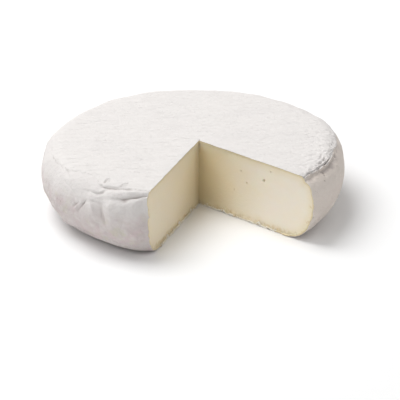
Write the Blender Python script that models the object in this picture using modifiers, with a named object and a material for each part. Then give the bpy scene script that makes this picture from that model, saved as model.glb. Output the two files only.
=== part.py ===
"""Brie wheel with one wedge cut out of its front, standing on its flat underside.

Units are metres and +Z is up. The notch faces -Y. Angles round the wheel are in degrees, counted
from the front (-Y) towards +X. A "drop" is the way down over the rind from the edge of the flat top,
measured along the surface, so a point on the flat top has a negative drop.
"""

import math
import random

import bmesh
import bpy
import numpy as np
from mathutils import Matrix, Vector

MM = 0.001

# The wheel: a low drum with rounded shoulders, widest a little above its middle
WHEEL_RADIUS = 115 * MM
WHEEL_HEIGHT = 53 * MM
WIDEST_HEIGHT = 0.585 * WHEEL_HEIGHT
SHOULDER_REACH = 18.6 * MM
SHOULDER_SQUARENESS = 2.35
LOWER_CORNER_REACH = 26 * MM
TOP_RADIUS = WHEEL_RADIUS - SHOULDER_REACH
FOOT_RADIUS = WHEEL_RADIUS - LOWER_CORNER_REACH
TURN_STEPS = 120
SHOULDER_STEPS = 8
LOWER_CORNER_STEPS = 8
FLAT_RINGS = (0.0, 0.3, 0.6, 0.85)

# The notch: two knife cuts that meet beside the wheel's axis
CUT_POINT = Vector((3.6 * MM, -2.2 * MM, 0))
LEFT_CUT_ANGLE = -20.8
RIGHT_CUT_ANGLE = 48.9
CUT_LENGTH = 2 * WHEEL_RADIUS
KNIFE_OVERRUN = 2.4 * MM
KNIFE_SLIT_WIDTH = 0.8 * MM
KNIFE_SLIT_DEPTH = 4 * MM

# Marks of the draining mat: V-shaped grooves across the underside, parallel to X
MAT_PITCH = 22.9 * MM
FIRST_MAT_GROOVE_Y = -18.1 * MM
MAT_GROOVE_NUMBERS = range(-4, 4)
MAT_GROOVE_DEPTH = 2.9 * MM
MAT_GROOVE_HALF_WIDTH = 1.3 * MM
MAT_DENT_RADIUS = 103 * MM
MAT_DENT_DROPS = (58, 61)
MAT_DENT_WIDTH = 4.5 * MM
MAT_DENT_DEPTH = 1.6 * MM

# Outline: how far the rim stands in (-) or out (+) of a true circle, at angles round the wheel
RIM_SWELL = (
    (-180, -0.4 * MM),
    (-160, 0.6 * MM),
    (-153, -0.4 * MM),
    (-143, 0.7 * MM),
    (-134, -0.8 * MM),
    (-121, -1.2 * MM),
    (-108, -0.3 * MM),
    (-92, 0.5 * MM),
    (-80, 0.6 * MM),
    (-68, -0.5 * MM),
    (-55, 0.3 * MM),
    (-40, 0.0 * MM),
    (-20, 0.0 * MM),
    (50, 0.8 * MM),
    (72, -0.6 * MM),
    (90, -0.4 * MM),
    (102, 1.0 * MM),
    (112, 1.6 * MM),
    (122, 1.1 * MM),
    (130, 0.0 * MM),
    (138, 0.6 * MM),
    (144, -0.4 * MM),
    (151, 1.0 * MM),
    (161, 0.0 * MM),
    (180, -0.4 * MM),
)

# The wall is drawn in beside the left cut: the angle and half width of that hollow, how far in it goes
# at heights above the foot, and the radius inside which the foot keeps still
CORNER_ANGLE = -17.5
CORNER_HALF_WIDTH = 9.5 * MM
CORNER_STILL_RADIUS = 77 * MM
CORNER_PULL = (
    (0 * MM, 5.5 * MM),
    (1 * MM, 6.5 * MM),
    (6 * MM, 7.9 * MM),
    (12 * MM, 9.7 * MM),
    (23 * MM, 12.0 * MM),
    (34 * MM, 10.8 * MM),
    (42 * MM, 8.2 * MM),
    (48.5 * MM, 4.0 * MM),
    (51.5 * MM, 0 * MM),
)

# Folds, creases and dents of the rind: a path of (angle, drop in mm), a half width and a height.
# A negative height is a crease.
RIND_FOLDS = {
    "crease under the top's lip": (
        ((-39.1, 9.5), (-36.5, 8.1), (-33.1, 6.6), (-27.1, 4.6), (-20.5, 3.0)),
        2.0 * MM,
        -1.6 * MM,
    ),
    "sagging roll": (((-34, 14.5), (-30.8, 12.0), (-26.6, 8.8), (-20, 6.0)), 2.8 * MM, 1.2 * MM),
    "crease under the roll": (
        ((-36, 18.9), (-29.9, 16.5), (-25.8, 13.4), (-21.3, 10.0), (-18.9, 7.7)),
        2.2 * MM,
        -2.4 * MM,
    ),
    "short crease in the lip": (((-39.7, 5.1), (-40.4, 0.5), (-39.6, -4.1)), 1.8 * MM, -0.9 * MM),
    "second crease in the lip": (((-31.6, 4.1), (-31.1, 0.6), (-29.7, -7.4)), 1.8 * MM, -0.9 * MM),
    "slanting crease": (((-50.2, 32.6), (-47.4, 27.9)), 1.7 * MM, -0.9 * MM),
    "second slanting crease": (((-47.6, 34.4), (-46.2, 30.6), (-43.8, 24.1)), 1.8 * MM, -1.2 * MM),
    "crease beside the shoulder": (((-46.3, 17.6), (-41.8, 16.4), (-37.4, 14.0)), 1.8 * MM, -0.9 * MM),
    "upright dent": (((-36.5, 23.0), (-34.9, 37.0)), 5.0 * MM, -1.3 * MM),
    "shallow upright dent": (((-28.9, 20.0), (-28.0, 32.0)), 4.5 * MM, -0.7 * MM),
    "dent beside the left cut": (((-20.5, 18.0), (-19.5, 40.0)), 4.0 * MM, -0.8 * MM),
    "crest on the right shoulder": (
        ((48.0, 9.4), (54.1, 8.6), (63.2, 9.7), (68.5, 10.8), (76.8, 10.6), (89.7, 11.5), (94.3, 13.5)),
        2.0 * MM,
        1.2 * MM,
    ),
    "crease under the crest": (((49.0, 12.6), (60.0, 12.8), (74.0, 13.8), (88.0, 14.6)), 2.0 * MM, -0.7 * MM),
    "nick in the far rim": (((121.4, 5.4), (119.9, 8.4)), 1.8 * MM, -1.2 * MM),
}

# The parts of the rind where folds need a finer mesh: angles, drops, and cuts across each face
FINE_AREAS = (
    ((-52.0, -15.0), (-8.0 * MM, 37.0 * MM), 3),
    ((44.0, 96.0), (4.0 * MM, 17.0 * MM), 2),
)

# Low waves that make the wall and the top uneven. On the wall: waves round the wheel, height, phase,
# and the drop over which they lean by one radian. On the top: wavelength, height, phase, and how far
# they run askew of X. Waves and swell of the wall fade in over a drop at its upper end, and all relief
# fades out just above the foot.
WALL_WAVES = ((5, 0.35 * MM, 0.6), (13, 0.25 * MM, 2.1), (29, 0.16 * MM, 4.4))
WALL_WAVE_LEAN = 20 * MM
TOP_WAVES = ((52 * MM, 0.25 * MM, 0.9), (71 * MM, 0.2 * MM, 2.5))
TOP_WAVE_SKEW = 0.2
WALL_FADE_DROP = 9 * MM
RELIEF_FADE_HEIGHT = 5 * MM

# Eyes in the right cut: distance from the cut's inner end, height, radius
EYES = (
    (35.2 * MM, 22.0 * MM, 0.9 * MM),
    (42.2 * MM, 39.5 * MM, 1.0 * MM),
    (48.6 * MM, 31.2 * MM, 1.1 * MM),
    (64.8 * MM, 38.7 * MM, 1.7 * MM),
    (72.2 * MM, 46.0 * MM, 1.0 * MM),
)
EYE_FLATTENING = 0.7
EYE_DEPTH = 0.15

# Ragged lower edge of each cut, where the rind tore: small chips about as far apart as the mat's reeds
CHIP_PITCH = 8.3 * MM
CHIP_COUNT = 10
CHIP_LENGTH = (3.0 * MM, 5.0 * MM)
CHIP_SIZE = (1.6 * MM, 2.8 * MM)
CHIP_SCATTER = 0.12
CHIP_TWIST = 15
CHIP_SEED = 7

# Cutters that meet the foot lie this far under it, so that none of their edges runs along the foot
CUTTER_SINK = 0.3 * MM

# Points closer than this are one point; edges sharper than this angle stay sharp in the shading
SAME_POINT = 0.05 * MM
SHARP_ANGLE = 40


def clear_scene():
    for old in list(bpy.data.objects):
        bpy.data.objects.remove(old, do_unlink=True)


def new_collection(name):
    group = bpy.data.collections.new(name)
    bpy.context.scene.collection.children.link(group)
    return group


def bloomy_rind():
    material = bpy.data.materials.new("bloomy_rind")
    material.use_nodes = True
    shader = material.node_tree.nodes["Principled BSDF"]
    shader.inputs["Base Color"].default_value = (0.83, 0.80, 0.75, 1)
    shader.inputs["Roughness"].default_value = 0.85
    shader.inputs["Metallic"].default_value = 0
    return material


def new_cutter(name, shape, group):
    """Turn a bmesh into a hidden wire object that only cuts."""
    bmesh.ops.recalc_face_normals(shape, faces=shape.faces)
    mesh = bpy.data.meshes.new(name)
    shape.to_mesh(mesh)
    shape.free()
    cutter = bpy.data.objects.new(name, mesh)
    cutter.display_type = "WIRE"
    cutter.hide_render = True
    group.objects.link(cutter)
    return cutter


def outward(angle):
    """Level unit vector at an angle round the wheel."""
    turn = math.radians(angle)
    return Vector((math.sin(turn), -math.cos(turn), 0))


def wheel_profile():
    """Half section from the middle of the top, over the shoulder and lower corner, to the foot's middle."""
    top = [(TOP_RADIUS * ring, WHEEL_HEIGHT) for ring in FLAT_RINGS]
    shoulder = []
    for step in range(SHOULDER_STEPS + 1):
        turn = math.radians(90 * step / SHOULDER_STEPS)
        across = math.sin(turn) ** (2 / SHOULDER_SQUARENESS)
        rise = math.cos(turn) ** (2 / SHOULDER_SQUARENESS)
        shoulder.append(
            (TOP_RADIUS + SHOULDER_REACH * across, WIDEST_HEIGHT + (WHEEL_HEIGHT - WIDEST_HEIGHT) * rise)
        )
    corner = []
    for step in range(1, LOWER_CORNER_STEPS + 1):
        turn = math.radians(90 * step / LOWER_CORNER_STEPS)
        corner.append(
            (FOOT_RADIUS + LOWER_CORNER_REACH * math.cos(turn), WIDEST_HEIGHT * (1 - math.sin(turn)))
        )
    foot = [(FOOT_RADIUS * ring, 0.0) for ring in reversed(FLAT_RINGS)]
    return top + shoulder + corner + foot


def turned_wheel():
    """Turn the half section about Z and return the plain drum as a mesh."""
    outline = bpy.data.meshes.new("half_section")
    points = [(radius, 0.0, height) for radius, height in wheel_profile()]
    links = [(index, index + 1) for index in range(len(points) - 1)]
    outline.from_pydata(points, links, [])
    turned = bpy.data.objects.new("half_section", outline)
    bpy.context.scene.collection.objects.link(turned)
    screw = turned.modifiers.new("Turn", "SCREW")
    screw.axis = "Z"
    screw.steps = TURN_STEPS
    screw.render_steps = TURN_STEPS
    screw.use_merge_vertices = True
    screw.merge_threshold = SAME_POINT
    view = bpy.context.evaluated_depsgraph_get()
    drum = bpy.data.meshes.new_from_object(turned.evaluated_get(view))
    bpy.data.objects.remove(turned, do_unlink=True)
    return drum


def unrolled(places):
    """Angle round the wheel in degrees, and drop, of each place on the plain drum."""
    angle = np.degrees(np.arctan2(places[:, 0], -places[:, 1]))
    radius = np.hypot(places[:, 0], places[:, 1])
    profile = np.array(wheel_profile())[len(FLAT_RINGS):-len(FLAT_RINGS)]
    steps = np.hypot(*np.diff(profile, axis=0).T)
    drops = np.concatenate([[0.0], np.cumsum(steps)])
    drop = np.interp(-places[:, 2], -profile[:, 1], drops)
    on_top = places[:, 2] > WHEEL_HEIGHT - SAME_POINT
    return angle, np.where(on_top, radius - TOP_RADIUS, drop)


def distance_to_path(angle, drop, path):
    """Way over the unrolled rind from each place to a path of straight runs."""
    per_degree = WHEEL_RADIUS * math.pi / 180
    places = np.stack([angle * per_degree, drop], axis=1)
    corners = [np.array((corner_angle * per_degree, corner_drop * MM)) for corner_angle, corner_drop in path]
    nearest = np.full(len(places), np.inf)
    for start, end in zip(corners, corners[1:]):
        run = end - start
        share = np.clip((places - start) @ run / (run @ run), 0, 1)
        nearest = np.minimum(nearest, np.linalg.norm(places - start - share[:, None] * run, axis=1))
    return nearest


def bell(distance, half_width):
    return np.exp(-((distance / half_width) ** 2))


def mat_groove_rows():
    return [FIRST_MAT_GROOVE_Y - number * MAT_PITCH for number in MAT_GROOVE_NUMBERS]


def rind_relief(places):
    """How far each place on the plain drum moves out along its normal."""
    angle, drop = unrolled(places)
    turn = np.radians(angle)
    swell_angles, swells = zip(*RIM_SWELL)
    on_wall = 1 - bell(np.maximum(drop, 0), WALL_FADE_DROP)
    relief = np.interp(angle, swell_angles, swells) * on_wall
    for waves, height, phase in WALL_WAVES:
        relief += height * on_wall * np.sin(waves * turn + phase + drop / WALL_WAVE_LEAN)
    for length, height, phase in TOP_WAVES:
        across = places[:, 1] + TOP_WAVE_SKEW * places[:, 0]
        relief += height * (1 - on_wall) * np.sin(2 * math.pi * across / length + phase)
    for path, half_width, height in RIND_FOLDS.values():
        relief += height * bell(distance_to_path(angle, drop, path), half_width)
    for row in mat_groove_rows():
        reach = math.degrees(math.acos(max(-1, min(1, -row / MAT_DENT_RADIUS))))
        for side in (-reach, reach):
            distance = distance_to_path(angle, drop, [(side, end) for end in MAT_DENT_DROPS])
            relief -= MAT_DENT_DEPTH * bell(distance, MAT_DENT_WIDTH)
    return relief * np.clip(places[:, 2] / RELIEF_FADE_HEIGHT, 0, 1)


def corner_pull(places):
    """How far in, towards the axis, each place on the plain drum is drawn beside the left cut."""
    angle = np.degrees(np.arctan2(places[:, 0], -places[:, 1]))
    heights, pulls = zip(*CORNER_PULL)
    beside_cut = bell((angle - CORNER_ANGLE) * WHEEL_RADIUS * math.pi / 180, CORNER_HALF_WIDTH)
    radius = np.hypot(places[:, 0], places[:, 1])
    loose = np.clip((radius - CORNER_STILL_RADIUS) / (FOOT_RADIUS - CORNER_STILL_RADIUS), 0, 1)
    return np.interp(places[:, 2], heights, pulls) * beside_cut * loose


def refine(mesh):
    """Split the faces of the folded areas, so that they can hold the folds."""
    shape = bmesh.new()
    shape.from_mesh(mesh)
    for (first_angle, last_angle), (first_drop, last_drop), cuts in FINE_AREAS:
        angle, drop = unrolled(np.array([face.calc_center_median() for face in shape.faces]))
        chosen = (angle > first_angle) & (angle < last_angle) & (drop > first_drop) & (drop < last_drop)
        edges = {edge: None for face, fine in zip(shape.faces, chosen) if fine for edge in face.edges}
        bmesh.ops.subdivide_edges(shape, edges=list(edges), cuts=cuts, use_grid_fill=True)
    shape.to_mesh(mesh)
    shape.free()


def add_relief(mesh):
    places = np.empty(len(mesh.vertices) * 3)
    normals = np.empty(len(mesh.vertices) * 3)
    mesh.vertices.foreach_get("co", places)
    mesh.vertices.foreach_get("normal", normals)
    places = places.reshape(-1, 3)
    moved = places + rind_relief(places)[:, None] * normals.reshape(-1, 3)
    radius = np.maximum(np.hypot(places[:, 0], places[:, 1]), SAME_POINT)
    moved[:, :2] -= (corner_pull(places) / radius)[:, None] * places[:, :2]
    moved[:, 2] = np.maximum(moved[:, 2], 0)
    mesh.vertices.foreach_set("co", moved.ravel())
    mesh.update()


def notch_cutter(group):
    """The wedge between the two cuts: a flat triangle, extruded past the top and the underside."""
    outline = bpy.data.curves.new("notch", "CURVE")
    outline.dimensions = "2D"
    outline.fill_mode = "BOTH"
    outline.extrude = 1.5 * WHEEL_HEIGHT
    spline = outline.splines.new("POLY")
    corners = (
        CUT_POINT,
        CUT_POINT + CUT_LENGTH * outward(LEFT_CUT_ANGLE),
        CUT_POINT + CUT_LENGTH * outward(RIGHT_CUT_ANGLE),
    )
    spline.points.add(len(corners) - 1)
    for point, corner in zip(spline.points, corners):
        point.co = (corner.x, corner.y, 0, 1)
    spline.use_cyclic_u = True
    drawn = bpy.data.objects.new("notch", outline)
    bpy.context.scene.collection.objects.link(drawn)
    view = bpy.context.evaluated_depsgraph_get()
    mesh = bpy.data.meshes.new_from_object(drawn.evaluated_get(view))
    bpy.data.objects.remove(drawn, do_unlink=True)
    shape = bmesh.new()
    shape.from_mesh(mesh)
    bmesh.ops.remove_doubles(shape, verts=shape.verts, dist=SAME_POINT)
    return new_cutter("Notch", shape, group)


def knife_slit_cutter(group):
    """The left cut's knife ran a little way past the point, into the top."""
    direction = outward(LEFT_CUT_ANGLE)
    shape = bmesh.new()
    place = (
        Matrix.Translation(CUT_POINT - direction * KNIFE_OVERRUN / 2 + Vector((0, 0, WHEEL_HEIGHT)))
        @ Matrix.Rotation(math.radians(LEFT_CUT_ANGLE), 4, "Z")
        @ Matrix.Diagonal((KNIFE_SLIT_WIDTH, 2 * KNIFE_OVERRUN, 2 * KNIFE_SLIT_DEPTH, 1))
    )
    bmesh.ops.create_cube(shape, size=1, matrix=place)
    return new_cutter("Knife slit", shape, group)


def mat_groove_cutter(group):
    """Four-sided bars along X, set on edge round the foot's level, one for each reed of the draining mat."""
    shape = bmesh.new()
    for row in mat_groove_rows():
        place = (
            Matrix.Translation((0, row, -CUTTER_SINK))
            @ Matrix.Diagonal((1, MAT_GROOVE_HALF_WIDTH, MAT_GROOVE_DEPTH + CUTTER_SINK, 1))
            @ Matrix.Rotation(math.radians(90), 4, "Y")
            @ Matrix.Rotation(math.radians(180), 4, "Z")
        )
        bmesh.ops.create_cone(
            shape, cap_ends=True, segments=4, radius1=1, radius2=1, depth=3 * WHEEL_RADIUS, matrix=place
        )
    return new_cutter("Mat grooves", shape, group)


def eye_cutter(group):
    """Small flattened bubbles, their middles just inside the cheese behind the right cut."""
    shape = bmesh.new()
    for distance, height, radius in EYES:
        centre = CUT_POINT + distance * outward(RIGHT_CUT_ANGLE) + Vector((0, 0, height))
        inside = EYE_DEPTH * radius * outward(RIGHT_CUT_ANGLE + 90)
        place = (
            Matrix.Translation(centre + inside)
            @ Matrix.Rotation(math.radians(RIGHT_CUT_ANGLE), 4, "Z")
            @ Matrix.Diagonal((radius, radius, radius * EYE_FLATTENING, 1))
        )
        bmesh.ops.create_icosphere(shape, subdivisions=2, radius=1, matrix=place)
    return new_cutter("Eyes", shape, group)


def chip_cutter(group):
    """Small blocks set on edge along the foot of both cuts, each biting a chip out of the rind."""
    draw = random.Random(CHIP_SEED)
    shape = bmesh.new()
    for cut_angle in (LEFT_CUT_ANGLE, RIGHT_CUT_ANGLE):
        for number in range(1, CHIP_COUNT + 1):
            distance = CHIP_PITCH * (number + draw.uniform(-CHIP_SCATTER, CHIP_SCATTER))
            size = draw.uniform(*CHIP_SIZE)
            length = draw.uniform(*CHIP_LENGTH)
            place = (
                Matrix.Translation(CUT_POINT + distance * outward(cut_angle) - Vector((0, 0, CUTTER_SINK)))
                @ Matrix.Rotation(math.radians(cut_angle + draw.uniform(-CHIP_TWIST, CHIP_TWIST)), 4, "Z")
                @ Matrix.Rotation(math.radians(45), 4, "Y")
                @ Matrix.Diagonal((size, length, size, 1))
            )
            bmesh.ops.create_cube(shape, size=1, matrix=place)
    return new_cutter("Chips", shape, group)


def build_wheel():
    clear_scene()
    parts = new_collection("Brie Wheel")
    cutters = new_collection("Cutters")
    body = turned_wheel()
    refine(body)
    add_relief(body)
    body.materials.append(bloomy_rind())
    body.shade_smooth()
    body.set_sharp_from_angle(angle=math.radians(SHARP_ANGLE))
    wheel = bpy.data.objects.new("brie_wheel", body)
    parts.objects.link(wheel)
    middle = bpy.data.objects.new("Middle", None)
    parts.objects.link(middle)
    wheel.parent = middle
    for make_cutter in (notch_cutter, knife_slit_cutter, eye_cutter, mat_groove_cutter, chip_cutter):
        cutter = make_cutter(cutters)
        cutter.parent = middle
        cut = wheel.modifiers.new(cutter.name, "BOOLEAN")
        cut.operation = "DIFFERENCE"
        cut.object = cutter
    stand_on_origin(wheel, middle)


def stand_on_origin(wheel, middle):
    """Put the middle of the cut wheel's box, at its foot, over the world's origin."""
    view = bpy.context.evaluated_depsgraph_get()
    corners = [Vector(corner) for corner in wheel.evaluated_get(view).bound_box]
    low = Vector(min(corner[axis] for corner in corners) for axis in range(3))
    high = Vector(max(corner[axis] for corner in corners) for axis in range(3))
    middle.location = (-(low.x + high.x) / 2, -(low.y + high.y) / 2, -low.z)


build_wheel()
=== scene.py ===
"""A brie wheel with one wedge cut out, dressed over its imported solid.

Metres, +Z up, the notch towards -Y. Angles are in degrees round the wheel, from the front (-Y) towards
+X. A "drop" is the way down over the rind from the edge of the flat top, so it is negative on the top.
"""
import math

import bmesh
import bpy
import numpy as np
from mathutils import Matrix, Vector


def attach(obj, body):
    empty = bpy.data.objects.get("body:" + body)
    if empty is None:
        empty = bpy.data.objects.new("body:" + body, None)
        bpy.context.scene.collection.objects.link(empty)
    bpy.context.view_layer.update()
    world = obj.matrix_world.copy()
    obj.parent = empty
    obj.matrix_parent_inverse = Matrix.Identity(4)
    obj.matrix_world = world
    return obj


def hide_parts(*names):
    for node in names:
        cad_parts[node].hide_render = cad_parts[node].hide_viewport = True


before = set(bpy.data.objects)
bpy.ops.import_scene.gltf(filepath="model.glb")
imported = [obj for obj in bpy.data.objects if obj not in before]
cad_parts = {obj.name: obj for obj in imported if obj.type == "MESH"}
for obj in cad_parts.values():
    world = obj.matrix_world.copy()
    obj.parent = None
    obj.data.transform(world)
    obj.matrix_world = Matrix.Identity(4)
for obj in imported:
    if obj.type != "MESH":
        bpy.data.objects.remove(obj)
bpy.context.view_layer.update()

# The view. The camera looks level along +Y and about 25 degrees down, from fifteen wheel radii away.
# It stands so that the wheel's middle falls on the pixel where the photograph has it.
MM = 0.001
WHEEL_RADIUS = 115 * MM
WHEEL_HEIGHT = 53 * MM
TURNING_AXIS = Vector((0.65 * MM, -5.59 * MM, 0))
PHOTO_SIDE = 400
MIDDLE_PIXEL = (194.2, 171.1)
FOCAL_PIXELS = 2267
VIEW_ELEVATION = math.radians(24.65)
VIEW_DISTANCE = 15 * WHEEL_RADIUS
SENSOR_WIDTH = 36

view_forward = Vector((0, math.cos(VIEW_ELEVATION), -math.sin(VIEW_ELEVATION)))
view_up = Vector((0, math.sin(VIEW_ELEVATION), math.cos(VIEW_ELEVATION)))
view_right = Vector((1, 0, 0))
sideways = (MIDDLE_PIXEL[0] - PHOTO_SIDE / 2) / FOCAL_PIXELS
upwards = (PHOTO_SIDE / 2 - MIDDLE_PIXEL[1]) / FOCAL_PIXELS
wheel_middle = TURNING_AXIS + Vector((0, 0, WHEEL_HEIGHT / 2))
lens = bpy.data.cameras.new("Camera")
lens.sensor_width = SENSOR_WIDTH
lens.lens = SENSOR_WIDTH * FOCAL_PIXELS / PHOTO_SIDE
lens.clip_start = 0.05
lens.clip_end = 50
camera = bpy.data.objects.new("Camera", lens)
camera.location = wheel_middle - VIEW_DISTANCE * (view_forward + sideways * view_right + upwards * view_up)
camera.rotation_euler = (math.pi / 2 - VIEW_ELEVATION, 0, 0)
bpy.context.scene.collection.objects.link(camera)
bpy.context.scene.camera = camera

# The rind over the top, the shoulder and the wall: a felt of white mould about a millimetre thick on a
# drum that has slumped, sagged and creased as it ripened. It is one closed shell on spokes that start
# from the point where the two knife cuts meet, so that its edges lie in the cuts.
WIDEST_HEIGHT = 0.585 * WHEEL_HEIGHT
SHOULDER_REACH = 18.6 * MM
SHOULDER_SQUARENESS = 2.35
LOWER_CORNER_REACH = 26 * MM
TOP_RADIUS = WHEEL_RADIUS - SHOULDER_REACH
FOOT_RADIUS = WHEEL_RADIUS - LOWER_CORNER_REACH
CUT_POINT = np.array((3.6 * MM, -2.2 * MM))
RIGHT_CUT_ANGLE = 48.9
LEFT_CUT_ANGLE = 360 - 20.8
RIND_THICKNESS = 1.1 * MM
LINING_DEPTH = 3.4 * MM
SKIN_INSET = 0.2 * MM
MAT_PITCH = 22.9 * MM
MAT_GROOVE_Y = -18.1 * MM
MAT_GROOVE_DEPTH = 2.6 * MM
MAT_GROOVE_HALF_WIDTH = 1.3 * MM
KNIFE_OVERRUN = 2.4 * MM
KNIFE_SLIT_DEPTH = 2 * MM
KNIFE_SLIT_HALF_WIDTH = 0.4 * MM

# How far the rim stands in (-) or out (+) of a true circle: angle, millimetres
RIM_SWELL = (
    (-180, -0.8), (-160, 0.6), (-153, -0.4), (-143, 0.7), (-134, -0.8), (-121, -1.2), (-108, -0.3),
    (-92, 0.5), (-80, 0.6), (-68, -0.5), (-55, 0.3), (-40, 0.0), (-20, 0.0), (50, 0.8), (72, -0.6),
    (90, -0.7), (102, 0.6), (112, 1.4), (122, 1.0), (130, 0.0), (138, 0.6), (144, -0.4), (151, 1.0),
    (161, 0.0), (180, -0.8),
)

# The wall is drawn in beside the left cut: the hollow's angle and half width in millimetres, and how
# many millimetres it goes in at heights in millimetres
CORNER_ANGLE = -17.5
CORNER_HALF_WIDTH = 9.5
CORNER_PULL = (
    (0, 5.0), (1, 5.2), (6, 5.6), (12, 7.2), (23, 9.8), (34, 10.2), (42, 8.2), (48.5, 4.0), (51.5, 0),
)
CORNER_STILL_RADIUS = 77 * MM

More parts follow.
